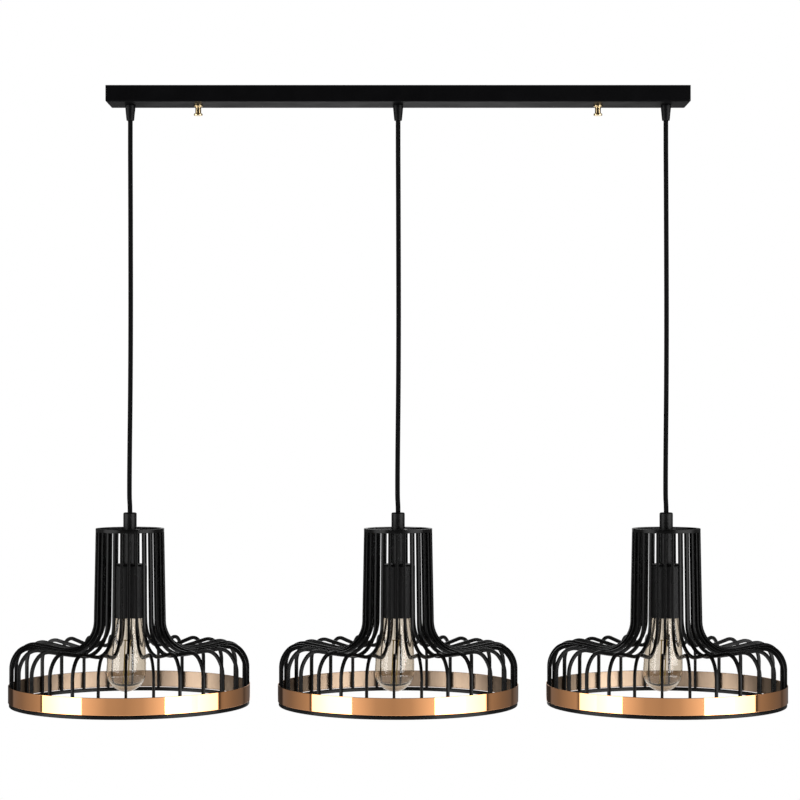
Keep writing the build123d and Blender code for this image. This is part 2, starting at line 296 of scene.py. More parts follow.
def powder_coat(name, rgb, roughness, gloss):
    """Sprayed and baked coat: a fine orange peel, with slow changes of gloss and tone."""
    finish = new_finish(name)
    place = finish.place()
    peel = finish.noise(place, 1400.0, 2.0)
    slow = finish.noise(place, 24.0, 4.0)
    grit = finish.noise(place, 420.0, 2.0)
    tone = finish.tint(slow + grit * 0.4, 0.45, 0.95, rgb, 0.85, 1.25)
    rough = finish.spread(slow, 0.3, 0.7, roughness - 0.04, roughness + 0.05)
    normal = finish.bump(peel, 0.00003, 0.5)
    return finish.surface(Base_Color=tone, Roughness=rough, Normal=normal, Specular_IOR_Level=gloss)


def polished_copper(name, rgb):
    """Polished plate: a mirror with a trace of rolling marks along the strip."""
    finish = new_finish(name)
    place = finish.place()
    slow = finish.noise(place, 14.0, 3.0)
    lines = finish.stretched_noise(place, (30.0, 30.0, 2600.0), 2.0)
    tone = finish.tint(slow, 0.3, 0.7, rgb, 0.95, 1.0)
    rough = finish.spread(lines + slow * 0.5, 0.4, 1.1, 0.03, 0.05)
    normal = finish.bump(finish.noise(place, 22.0, 1.0), 0.0002, 0.25)
    return finish.surface(Base_Color=tone, Roughness=rough, Metallic=1.0, Normal=normal)


def satin_plate(name, rgb):
    """Thin plate on an unpolished back: soft, with faint upright drawing marks."""
    finish = new_finish(name)
    place = finish.place()
    marks = finish.stretched_noise(place, (260.0, 260.0, 6.0), 3.0)
    slow = finish.noise(place, 18.0, 3.0)
    tone = finish.tint(marks + slow, 0.7, 1.3, rgb, 0.85, 1.08)
    rough = finish.spread(marks, 0.3, 0.7, 0.38, 0.46)
    normal = finish.bump(marks, 0.00004, 0.5)
    return finish.surface(Base_Color=tone, Roughness=rough, Metallic=1.0, Normal=normal)


def turned_metal(name, rgb, roughness):
    """Lathe-turned metal: fine rings along the axis and a slight tarnish."""
    finish = new_finish(name)
    place = finish.place()
    rings = finish.ripple(place, 9000.0)
    slow = finish.noise(place, 160.0, 4.0)
    tone = finish.tint(slow, 0.35, 0.7, rgb, 1.0, 0.72)
    rough = finish.spread(slow, 0.3, 0.7, roughness - 0.05, roughness + 0.08)
    normal = finish.bump(rings, 0.00001, 0.15)
    return finish.surface(Base_Color=tone, Roughness=rough, Metallic=1.0, Normal=normal)


def zinc_plate(name):
    """Zinc plate: flat crystals that differ in tone and gloss."""
    finish = new_finish(name)
    place = finish.place()
    cells = finish.node("ShaderNodeTexVoronoi", values={"Vector": place, "Scale": 130.0}, output="Color")
    grey = finish.node("ShaderNodeSeparateColor", values={0: cells})
    slow = finish.noise(place, 60.0, 4.0)
    tone = finish.mix(grey * 0.6 + slow * 0.4, (0.42, 0.43, 0.44), (0.58, 0.59, 0.6))
    rough = finish.spread(grey, 0.0, 1.0, 0.32, 0.48)
    return finish.surface(Base_Color=tone, Roughness=rough, Metallic=1.0)


def moulded(name, rgb, roughness, gloss=0.4):
    """Moulded plastic with a light spark texture."""
    finish = new_finish(name)
    place = finish.place()
    grain = finish.noise(place, 2200.0, 2.0)
    slow = finish.noise(place, 50.0, 3.0)
    tone = finish.tint(slow, 0.3, 0.7, rgb, 0.9, 1.1)
    rough = finish.spread(grain, 0.3, 0.7, roughness - 0.05, roughness + 0.05)
    normal = finish.bump(grain, 0.00003, 0.5)
    return finish.surface(Base_Color=tone, Roughness=rough, Normal=normal, Specular_IOR_Level=gloss)


def textile_braid(name, rgb, strands, pitch):
    """Braided yarn: two sets of strands wind round the cord and pass over and under each other."""
    finish = new_finish(name)
    braid = finish.node("ShaderNodeAttribute", {"attribute_name": "braid"}, output="Vector")
    depth = finish.axis(braid, "Y")
    turn = depth.maths("ARCTAN2", depth, finish.axis(braid, "X"))
    along = finish.axis(braid, "Z") * (math.tau / pitch)
    rising = turn.maths("SINE", turn * strands + along * strands)
    falling = turn.maths("SINE", turn * strands - along * strands)
    over = finish.spread(turn.maths("SINE", along * (2.0 * strands)), -0.3, 0.3, 0.0, 1.0)
    weave = rising * over + falling * (1.0 - over)
    fuzz = finish.noise(finish.place(), 3000.0, 2.0)
    # The tone follows the weave's relief: painted shade in the hollows between strands and a painted lighter
    # crest on each strand, with the fuzz's random tone beside it.
    tone = finish.tint(weave + fuzz, -0.6, 1.4, rgb, 0.55, 1.7)
    rough = finish.spread(fuzz, 0.3, 0.7, 0.8, 0.95)
    normal = finish.bump(weave + fuzz * 0.5, 0.00022, 0.8)
    return finish.surface(Base_Color=tone, Roughness=rough, Normal=normal, Specular_IOR_Level=0.08,
                          Sheen_Weight=0.03, Sheen_Roughness=0.4)


def clear_glass(name, rgb, roughness=0.0, body=None, tip=None):
    """Glass with a surface tint and, for coloured glass, a body colour that deepens with its thickness.

    A bulb's glass is painted darker round its tip, a painted shade that stands in for the darker reflection
    there; it is given as the tip's level and colour.
    """
    tip_shade_fade = 0.012
    body_density = 420.0
    finish = new_finish(name)
    place = finish.place()
    slow = finish.noise(place, 30.0, 2.0)
    tone = finish.tint(slow, 0.3, 0.7, rgb, 1.0, 0.97)
    # Painted shade: below the tip's level the glass's colour turns to the tip's darker colour.
    if tip:
        level, tip_shade = tip
        rise = finish.spread(finish.axis(place, "Z"), level, level + tip_shade_fade, 0.0, 1.0)
        tone = finish.mix(rise, tip_shade, tone)
    made = finish.surface(Base_Color=tone, Roughness=roughness, Transmission_Weight=1.0, IOR=1.47)
    if body:
        values = {"Color": opaque(body), "Density": body_density}
        depth = finish.node("ShaderNodeVolumeAbsorption", values=values)
        finish.tree.links.new(depth.socket, finish.tree.nodes["Material Output"].inputs["Volume"])
    return made


def coated_filament(name, rgb):
    """A row of coated chips: short bands along the rod."""
    finish = new_finish(name)
    place = finish.place()
    bands = finish.ripple(place, 5200.0)
    grain = finish.noise(place, 1500.0, 2.0)
    tone = finish.tint(bands + grain, 0.0, 1.4, rgb, 0.8, 1.1)
    rough = finish.spread(grain, 0.3, 0.7, 0.4, 0.6)
    return finish.surface(Base_Color=tone, Roughness=rough, Normal=finish.bump(bands, 0.00003, 0.5))


FINISHES = {}


def mix_finishes(colours):
    """Makes each finish once, for the new pieces and the frame's own nodes."""
    # Painted shade for the bulb's tip: the lowest level of the glass and a darker amber.
    bulb_tip_shade = (bottom_of("middle_bulb_glass"), (0.5, 0.37, 0.22))
    FINISHES.update(
        bar=powder_coat("bar_coat", colours.bar_coat, 0.5, 0.027),
        wire=powder_coat("wire_coat", colours.wire_coat, 0.27, 0.1),
        tube=powder_coat("tube_coat", colours.tube_coat, 0.4, 0.135),
        copper=polished_copper("polished_copper", colours.copper),
        inside=satin_plate("band_inside", colours.copper_inside),
        brass=turned_metal("turned_brass", colours.brass, 0.12),
        contact=turned_metal("contact_brass", (0.7, 0.53, 0.26), 0.34),
        cap=turned_metal("cap_metal", (0.74, 0.7, 0.62), 0.3),
        zinc=zinc_plate("zinc_plate"),
        gland=moulded("gland_plastic", (0.004, 0.004, 0.0045), 0.4, 0.08),
        holder=moulded("holder_plastic", (0.02, 0.02, 0.02), 0.42),
        block=moulded("block_plastic", (0.74, 0.74, 0.7), 0.45),
        sheath=moulded("lead_sheath", (0.03, 0.03, 0.032), 0.55),
        braid=textile_braid("cord_braid", colours.braid, 8, 0.024),
        amber=clear_glass("amber_glass", (1.0, 1.0, 1.0), body=colours.amber, tip=bulb_tip_shade),
        stem=clear_glass("stem_glass", (0.96, 0.95, 0.92), 0.04),
        filament=coated_filament("filament_coat", colours.filament),
    )


def spin_outline(points, steps, rounded=None):
    """Turns a closed outline of (radius, height) corners about Z, with chosen corners rounded first."""
    bm = bmesh.new()
    corners = [bm.verts.new((radius, 0.0, height)) for radius, height in points]
    for pair in zip(corners, corners[1:] + corners[:1]):
        bm.edges.new(pair)
    for index, radius in (rounded or {}).items():
        bmesh.ops.bevel(bm, geom=[corners[index]], offset=radius, offset_type="OFFSET", affect="VERTICES",
                        segments=4, profile=0.5, material=-1)
    return spin_round(bm, steps)


def spin_round(bm, steps):
    """Spins everything in the mesh once round Z and closes the seam and the poles."""
    bmesh.ops.spin(bm, geom=bm.verts[:] + bm.edges[:], cent=(0, 0, 0), axis=(0, 0, 1), angle=math.tau,
                   steps=steps, use_merge=True, use_duplicate=False)
    bmesh.ops.remove_doubles(bm, verts=bm.verts, dist=1e-7)
    bmesh.ops.recalc_face_normals(bm, faces=bm.faces)
    return bm


def spin_ring(inner, outer, node, steps, rounded=None):
    """A plain ring as high as a CAD node."""
    top, bottom = top_of(node), bottom_of(node)
    return spin_outline([(inner, top), (outer, top), (outer, bottom), (inner, bottom)], steps, rounded)


def spin_disc(radius, top, bottom, steps, rounded=None):
    return spin_outline([(0.0, top), (radius, top), (radius, bottom), (0.0, bottom)], steps, rounded)


def draw_out(bm, tip, run):
    """Extrudes an end face along a run and returns the new end. A face that is left inside comes out."""
    grown = bmesh.ops.extrude_face_region(bm, geom=tip)["geom"]
    bmesh.ops.translate(bm, vec=run, verts=[item for item in grown if isinstance(item, bmesh.types.BMVert)])
    inside = [face for face in tip if face.is_valid and all(len(edge.link_faces) > 2 for edge in face.edges)]
    bmesh.ops.delete(bm, geom=inside, context="FACES_ONLY")
    return [item for item in grown if isinstance(item, bmesh.types.BMFace)]


def turn(bm, angle):
    bmesh.ops.rotate(bm, verts=bm.verts, cent=(0, 0, 0), matrix=Matrix.Rotation(angle, 3, "Z"))


def move(bm, way):
    bmesh.ops.translate(bm, vec=way, verts=bm.verts)


def take_in(bm, mesh):
    """Moves a mesh into a shape."""
    bm.from_mesh(mesh)
    bpy.data.meshes.remove(mesh)


def join_shapes(first, others):
    """Moves the other shapes into the first one."""
    for shape in others:
        mesh = bpy.data.meshes.new("joined_shape")
        shape.to_mesh(mesh)
        shape.free()
        take_in(first, mesh)
    return first


def curve_mesh(curve):
    """The mesh that a curve makes. The curve goes."""
    line = bpy.data.objects.new(curve.name, curve)
    bpy.context.scene.collection.objects.link(line)
    mesh = bpy.data.meshes.new_from_object(line)
    bpy.data.objects.remove(line)
    bpy.data.curves.remove(curve)
    return mesh


def smooth_line(points, steps, radius=None):
    """The mesh of a smooth line: a bare one, or a closed round tube where it has a radius."""
    curve = bpy.data.curves.new("smooth_line", "CURVE")
    curve.dimensions = "3D"
    curve.resolution_u = steps
    if radius:
        curve.bevel_depth = radius
        curve.bevel_resolution = 4
        curve.use_fill_caps = True
    spline = curve.splines.new("NURBS")
    spline.points.add(len(points) - 1)
    for point, place in zip(spline.points, points):
        point.co = (*place, 1.0)
    spline.order_u = 3
    spline.use_endpoint_u = True
    return curve_mesh(curve)


def place_copy(bm, side):
    """A copy of one pendant's shape, turned as its shade hangs and moved to its place."""
    made = bm.copy()
    shade_turn = Matrix.Rotation(math.radians(SHADE_TURNS[side]), 4, "Z")
    place = Matrix.Translation((PENDANT_X[side], 0, 0)) @ shade_turn
    bmesh.ops.transform(made, matrix=place, verts=made.verts)
    return made


def make_object(name, bm, materials):
    mesh = bpy.data.meshes.new(name)
    bm.to_mesh(mesh)
    bm.free()
    for material in materials:
        mesh.materials.append(material)
    made = bpy.data.objects.new(name, mesh)
    bpy.context.scene.collection.objects.link(made)
    return made


def add_piece(name, bm, finishes, body, stands_for=()):
    """Makes a finished object of a mesh and sets it on its body."""
    made = make_object(name, bm, [FINISHES[finish] for finish in finishes])
    made.data.shade_smooth()
    made.data.set_sharp_from_angle(angle=SHARP_ANGLE)
    if body:
        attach(made, body)
    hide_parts(*stands_for)
    return made


def even_normals(made):
    """Keeps flat faces flat beside their rounded edges."""
    modifier = made.modifiers.new("even_normals", "WEIGHTED_NORMAL")
    modifier.keep_sharp = True
    modifier.weight = 80


def set_out(shape, piece, finishes, node, body=None):
    """Sets a copy of one shape on each pendant in place of its CAD node, on the shade or another body."""
    for side in SIDES:
        made = add_piece(f"{side}_{piece}", place_copy(shape, side), finishes, body or f"{side}_shade",
                         [f"{side}_{node}"])
        even_normals(made)
    shape.free()


def repaint(node, finish):
    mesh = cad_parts[node].data
    mesh.materials.clear()
    mesh.materials.append(FINISHES[finish])


def repaint_sides(paints):
    """Paints the frame's own nodes on every pendant."""
    for side in SIDES:
        for node, finish in paints.items():
            repaint(f"{side}_{node}", finish)


class CHANDELIER_OT_stage(bpy.types.Operator):
    """Sets up the camera, the floor and the studio light"""

    bl_idname = "chandelier.stage"
    bl_label = "Stage"

    card_distance = 3.6
    card_steps = 90
    overhead_height = 1.7
    overhead_level = 0.05
    # A divider's lower and upper edge, measured from the hoop's top, and its gap to the next one
    divider_below = 0.0136
    divider_above = 0.037
    divider_gap = 0.001

    # Levels of the lower and the upper edge of a card
    softbox, above, flag = (-2.2, 0.2), (0.2, 1.1), (-2.4, 1.6)
    floor_strip, low_strip, high_strip, top_strip = (-2.4, -1.62), (-1.62, -0.75), (-0.75, 0.2), (0.2, 1.8)

    # Each card has a row of (azimuth, level) stops. Azimuths run from the front, the right side positive.
    left_flag = (
        (-168, 0.08), (-152, 0.04), (-145, 0.04), (-141, 0.22), (-122, 0.25), (-92, 0.52), (-91, 0.1),
        (-89, 0.1),
    )
    right_flag = (
        (91, 0.1), (94, 0.1), (95, 0.3), (99, 0.36), (116, 0.24), (134, 0.17), (139, 0.08), (146, 0.15),
        (168, 0.15),
    )
    cards = (
        ("above_left", above, ((-89, 3.0), (-54, 3.0))),
        ("above_right", above, ((46, 3.0), (91, 3.0))),
        ("front_floor", floor_strip, ((-43, 2.0), (-20, 2.4), (12, 2.4), (34, 2.0))),
        ("front_low", low_strip, ((-43, 1.1), (-30, 0.8), (-20, 0.56), (-4, 0.48), (12, 0.6), (34, 1.2))),
        ("front_high", high_strip, ((-43, 0.1), (34, 0.1))),
        ("front_top", top_strip, ((-54, 0.06), (46, 0.06))),
        ("flag_left", flag, left_flag),
        ("flag_right", flag, right_flag),
    )
    # Softboxes and the dividers' front edges have their levels in shares of the softbox glint.
    left_softbox = ((-89, 0.7), (-68, 1.0), (-43, 1.1))
    right_softbox = ((34, 1.8), (39, 1.8), (40, 1.1), (60, 1.3), (91, 0.7))
    left_front = ((-88.5, 0.7), (-68, 1.0))
    right_front = ((66, 1.0), (90.5, 0.7))

    def execute(self, context):
        stage = context.scene.chandelier_stage
        context.scene.view_settings.view_transform = "Standard"
        camera = bpy.data.objects.new("photo_camera", bpy.data.cameras.new("photo_camera"))
        context.scene.collection.objects.link(camera)
        camera.data.lens = stage.lens
        camera.data.sensor_width = 36.0
        camera.data.clip_end = 100.0
        camera.location = (stage.camera_side, -stage.camera_distance, -stage.camera_drop)
        camera.rotation_euler = (math.pi / 2 + stage.camera_pitch, 0.0, 0.0)
        context.scene.camera = camera
        self.room(context, stage)
        self.floor(stage)

        def glints(stops):
            return tuple((azimuth, share * stage.softbox_glint) for azimuth, share in stops)

        self.card("softbox_left", self.softbox, glints(self.left_softbox), stage.softbox_light)
        self.card("softbox_right", self.softbox, glints(self.right_softbox), stage.softbox_light)
        for name, heights, stops in self.cards:
            self.card(name, heights, stops)
        for side in SIDES:
            self.divider(stage, f"{side}_divider_left", side, self.left_flag + glints(self.left_front))
            self.divider(stage, f"{side}_divider_right", side, glints(self.right_front) + self.right_flag)
        self.overhead()
        return {"FINISHED"}

    def background_mask(self, finish):
        """1 for the rays that show the background: from the camera, in metal and through glass."""
        kinds = ("Camera", "Glossy", "Transmission")
        seen = [finish.node("ShaderNodeLightPath", output=f"Is {kind} Ray") for kind in kinds]
        total = seen[0] + seen[1] + seen[2]
        return total.maths("MINIMUM", total, 1.0)

    def room(self, context, stage):
        world = bpy.data.worlds.new("white_room")
        context.scene.world = world
        finish = Finish(world)
        level = stage.room_light + (1.0 - stage.room_light) * self.background_mask(finish)
        shader = finish.node("ShaderNodeBackground", values={"Color": (1, 1, 1, 1), "Strength": level})
        finish.close(shader, "ShaderNodeOutputWorld")

    def floor(self, stage):
        """A pale round floor that fades into the background and can't be seen from below."""
        bm = bmesh.new()
        bmesh.ops.create_circle(bm, cap_ends=True, segments=96, radius=stage.floor_radius)
        move(bm, (0, 0, -stage.floor_drop))
        finish = new_finish("pale_floor")
        reach = finish.node("ShaderNodeVectorMath", {"operation": "LENGTH"}, {0: finish.place()}, "Value")
        fade = finish.spread(reach, stage.floor_drop + 0.1, stage.floor_radius, 0.0, 1.0)
        glow = finish.node("ShaderNodeEmission", values={"Color": (1, 1, 1, 1), "Strength": 1.0})
        matt = finish.node("ShaderNodeBsdfDiffuse", values={"Color": (0.9, 0.9, 0.9, 1)})
        clear = finish.node("ShaderNodeBsdfTransparent")
        share = (0.6 + 0.4 * fade) * self.background_mask(finish)
        lit = finish.node("ShaderNodeMixShader", values={0: share, 1: matt, 2: glow})
        under = finish.node("ShaderNodeNewGeometry", output="Backfacing")
        finish.close(finish.node("ShaderNodeMixShader", values={0: under, 1: lit, 2: clear}))
        self.stand("floor", bm, finish.owner)

    def card(self, name, heights, stops, light=None):
        """A curved upright card round the object. It shows in metal, and a lamp lights matt surfaces too."""
        bm = bmesh.new()
        ends = [bm.verts.new((0, -self.card_distance, height)) for height in heights]
        edge = bm.edges.new(ends)
        start, end = math.radians(stops[0][0]), math.radians(stops[-1][0])
        turn(bm, start)
        bmesh.ops.spin(bm, geom=ends + [edge], cent=(0, 0, 0), axis=(0, 0, 1), angle=end - start,
                       steps=self.card_steps, use_duplicate=False)
        self.light_up(name, bm, stops, lambda spot: math.degrees(math.atan2(spot.x, -spot.y)), light)

    def divider(self, stage, name, side, stops):
        """A small card beside a shade, which keeps its neighbour out of the copper.

        Each level stands where it is met by a camera ray that the copper turns to that azimuth.
        """
        view = Matrix.Rotation(math.atan2(stage.camera_side - PENDANT_X[side], stage.camera_distance), 2)
        band = radius_of("middle_copper_band")
        half_way = (PENDANT_X["right"] - PENDANT_X["middle"]) / 2
        reach = math.copysign(half_way - self.divider_gap, stops[0][0])
        places = []
        for azimuth, level in stops:
            heading = math.radians(azimuth)
            spot = view @ Vector((math.sin(heading / 2), -math.cos(heading / 2))) * band
            ray = view @ Vector((math.sin(heading), -math.cos(heading)))
            places.append((spot.y + (reach - spot.x) / ray.x * ray.y, level))
        places.sort()
        front, back = places[0][0], places[-1][0]
        low, high = HOOP_TOP - self.divider_below, HOOP_TOP + self.divider_above
        upright = Euler((math.pi / 2, 0, math.pi / 2)).to_matrix()
        bm = bmesh.new()
        bmesh.ops.create_grid(bm, x_segments=self.card_steps, y_segments=1, size=0.5)
        bmesh.ops.scale(bm, vec=(back - front, high - low, 1), verts=bm.verts)
        bmesh.ops.rotate(bm, verts=bm.verts, cent=(0, 0, 0), matrix=upright)
        move(bm, (PENDANT_X[side] + reach, (front + back) / 2, (low + high) / 2))
        self.light_up(name, bm, places, lambda spot: spot.y)

    def light_up(self, name, bm, stops, measure, light=None):
        """Gives a card its levels and sets it up."""
        layer = bm.verts.layers.float.new("level")
        for vert in bm.verts:
            vert[layer] = self.level_at(stops, measure(vert.co))
        finish = new_finish(name)
        strength = finish.node("ShaderNodeAttribute", {"attribute_name": "level"}, output="Fac")
        if light is not None:
            glossy = finish.node("ShaderNodeLightPath", output="Is Glossy Ray")
            strength = strength * glossy + (1.0 - glossy) * light
        finish.close(finish.node("ShaderNodeEmission", values={"Color": strength}))
        self.show_in_metal(self.stand(name, bm, finish.owner), light is not None)

    def overhead(self):
        """A dark disc above the object, which keeps the upper sides of black metal black."""
        bm = bmesh.new()
        bmesh.ops.create_circle(bm, cap_ends=True, segments=48, radius=self.card_distance)
        move(bm, (0, 0, self.overhead_height))
        finish = new_finish("overhead")
        grey = opaque((self.overhead_level,) * 3)
        finish.close(finish.node("ShaderNodeEmission", values={"Color": grey}))
        self.show_in_metal(self.stand("overhead", bm, finish.owner), False)

    def show_in_metal(self, made, lamp):
        """A card shows in reflections alone; a lamp also lights matt surfaces."""
        made.visible_camera = False
        made.visible_transmission = False
        made.visible_shadow = False
        made.visible_diffuse = lamp

    def level_at(self, stops, place):
        """The level between two stops of a card."""
        for (left, first), (right, second) in zip(stops, stops[1:]):
            if place < right:
                break
        share = min(max((place - left) / (right - left), 0.0), 1.0)
        return first + (second - first) * share

    def stand(self, name, bm, material):
        made = make_object(name, bm, [material])
        return made


class CHANDELIER_OT_cords(bpy.types.Operator):
    """Hangs the three textile cords from their glands"""

    bl_idname = "chandelier.cords"
    bl_label = "Cords"

    line_steps = 16
    bend_length = 0.022
    # Sideways drift of the hanging cord and height along it, between the gland's tip and the grip
    drift = (
        (0.0, GLAND_TIP + 0.002), (0.0, GLAND_TIP - 0.012), (0.0, GLAND_TIP - 0.026),
        (0.0, GLAND_TIP - 0.045), (0.0004, -0.17), (0.0010, -0.40), (-0.0013, -0.608),
        (0.0, GRIP_TOP + 0.01), (0.0, GRIP_TOP - 0.002),
    )

    def execute(self, context):
        diameter = context.scene.chandelier_fittings.cord_diameter
        for side in SIDES:
            x = PENDANT_X[side]
            line = smooth_line([(x + sway, 0.0, height) for sway, height in self.drift], self.line_steps)
            route = [vert.co.copy() for vert in line.vertices]
            bpy.data.meshes.remove(line)
            made = add_piece(f"{side}_textile_cord", self.tube(route, diameter / 2), ["braid"], None,
                             [f"{side}_cord"])
            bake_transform(made)
        return {"FINISHED"}

    def tube(self, route, radius):
        """A round tube along the route. Its braid layer holds the direction round it and the run along it."""
        bm = bmesh.new()
        braid = bm.verts.layers.float_vector.new("braid")
        start = Matrix.Translation(route[0])
        bmesh.ops.create_circle(bm, cap_ends=True, segments=20, radius=radius, matrix=start)
        tip = bm.faces[:]
        run = 0.0
        for before, after in zip([route[0]] + route, route):
            if after is not before:
                tip = draw_out(bm, tip, after - before)
            run += (after - before).length
            for vert in tip[0].verts:
                vert[braid] = Vector(((vert.co.x - after.x) / radius, (vert.co.y - after.y) / radius, run))
        bmesh.ops.recalc_face_normals(bm, faces=bm.faces)
        return bm


class CHANDELIER_OT_leads(bpy.types.Operator):
    """Lays the leads inside the bar, from each gland to the terminal block"""

    bl_idname = "chandelier.leads"
    bl_label = "Leads in the bar"

    line_steps = 10
    lanes = {"left": -0.008, "middle": 0.006, "right": -0.008}
    # Top of the cord's stub above the gland's tip, and how far the lead starts inside it
    stub_rise = 0.032
    stub_lap = 0.004
    stub_gap = 0.0005
    stub_middle = -0.03
    # Level of the leads, the length of their first curve, and their drift half-way
    level = -0.007
    sweep = 0.04
    drift_back = 0.0015
    drift_up = 0.001

    def execute(self, context):
        sizes = context.scene.chandelier_fittings
        low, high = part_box("terminal_block")
        bm = bmesh.new()
        for side in SIDES:
            x, lane = PENDANT_X[side], self.lanes[side]
            end = low.x if x < low.x else high.x
            curve_end = x + math.copysign(self.sweep, end - x)
            stub_top = GLAND_TIP + self.stub_rise
            lead = [
                (x, 0, stub_top - self.stub_lap), (x, 0, stub_top), (x, 0, self.level),
                (curve_end, lane, self.level),
                ((curve_end + end) / 2, lane - self.drift_back, self.level + self.drift_up),
                (end, lane, self.level),
            ]
            stub = [(x, 0, GLAND_TIP + self.stub_gap), (x, 0, self.stub_middle), (x, 0, stub_top)]
            take_in(bm, smooth_line(lead, self.line_steps, sizes.lead_diameter / 2))
            take_in(bm, smooth_line(stub, self.line_steps, sizes.cord_diameter / 2))
        bmesh.ops.recalc_face_normals(bm, faces=bm.faces)
        add_piece("bar_leads", bm, ["sheath"], "ceiling_bar", ["cord_tails"])
        return {"FINISHED"}


class CHANDELIER_OT_bar(bpy.types.Operator):
    """Paints the ceiling bar and everything that it holds inside"""

    bl_idname = "chandelier.bar"
    bl_label = "Ceiling bar"

    paints = {"canopy_shell": "bar", "ceiling_strap": "zinc", "strap_studs": "zinc",
              "terminal_block": "block", "terminal_screws": "contact", "gland_nuts": "gland"}

    def execute(self, context):
        for node, finish in self.paints.items():
            repaint(node, finish)
        return {"FINISHED"}


class CHANDELIER_OT_glands(bpy.types.Operator):
    """Turns the three tapered cord glands"""

    bl_idname = "chandelier.glands"
    bl_label = "Cord glands"

    bore_play = 0.00005
    thread_radius = 0.005
    head_radius, head_height = 0.0078, 0.0025
    waist_radius, waist_drop = 0.0072, 0.0085
    collar_radius, collar_rise = 0.006, 0.003
    tip_radius = 0.0056
    # Rounding by the outline's corners, in the order in which they are rounded
    rounded = {3: 0.0008, 4: 0.0012, 5: 0.0012, 6: 0.0012, 7: 0.0006, 1: 0.0004}

    def execute(self, context):
        bore = context.scene.chandelier_fittings.cord_diameter / 2 + self.bore_play
        seat = bottom_of("canopy_shell")
        thread_top = top_of("middle_gland")
        outline = [
            (bore, thread_top), (self.thread_radius, thread_top), (self.thread_radius, seat),
            (self.head_radius, seat), (self.head_radius, seat - self.head_height),
            (self.waist_radius, seat - self.waist_drop), (self.collar_radius, GLAND_TIP + self.collar_rise),
            (self.tip_radius, GLAND_TIP), (bore, GLAND_TIP),
        ]
        shape = spin_outline(outline, 64, self.rounded)
        set_out(shape, "cord_gland", ["gland"], "gland", "ceiling_bar")
        return {"FINISHED"}


class CHANDELIER_OT_nuts(bpy.types.Operator):
    """Turns the two brass thumb nuts"""

    bl_idname = "chandelier.nuts"
    bl_label = "Thumb nuts"

    bore_radius, bore_floor = 0.00258, 0.0025
    waist_radius = 0.0044
    upper_flange, lower_flange, flange_height = 0.00675, 0.0065, 0.003
    upper_slope, lower_slope = 0.0005, 0.0003
    rounded = {1: 0.0004, 2: 0.0007, 3: 0.0009, 4: 0.0007, 5: 0.0006, 6: 0.0008}

    def execute(self, context):
        for side in ("left", "right"):
            node = f"{side}_thumb_nut"
            shape = self.nut(top_of(node), bottom_of(node))
            move(shape, (centre_x(node), 0, 0))
            even_normals(add_piece(f"{side}_brass_nut", shape, ["brass"], f"{side}_nut", [node]))
        return {"FINISHED"}

    def nut(self, top, bottom):
        """Two flanges with a waist between them, and a blind bore from above."""
        upper, lower = top - self.flange_height, bottom + self.flange_height
        bore_end = bottom + self.bore_floor
        outline = [
            (self.bore_radius, top), (self.upper_flange, top), (self.upper_flange, upper),
            (self.waist_radius, upper - self.upper_slope), (self.waist_radius, lower + self.lower_slope),
            (self.lower_flange, lower), (self.lower_flange, bottom), (0.0, bottom), (0.0, bore_end),
            (self.bore_radius, bore_end),
        ]
        return spin_outline(outline, 72, self.rounded)


class CHANDELIER_OT_stems(bpy.types.Operator):
    """Turns the stem tubes and paints the cord grips above them"""

    bl_idname = "chandelier.stems"
    bl_label = "Stems and cord grips"

    edge = 0.0003

    def execute(self, context):
        outer = radius_of("middle_stem_tube")
        inner = outer - context.scene.chandelier_fittings.stem_wall
        shape = spin_ring(inner, outer, "middle_stem_tube", 64, {1: self.edge, 2: self.edge})
        set_out(shape, "stem", ["tube"], "stem_tube")
        repaint_sides({"cord_grip": "tube", "grip_screw": "zinc", "nipple": "zinc", "inner_lead": "sheath"})
        return {"FINISHED"}


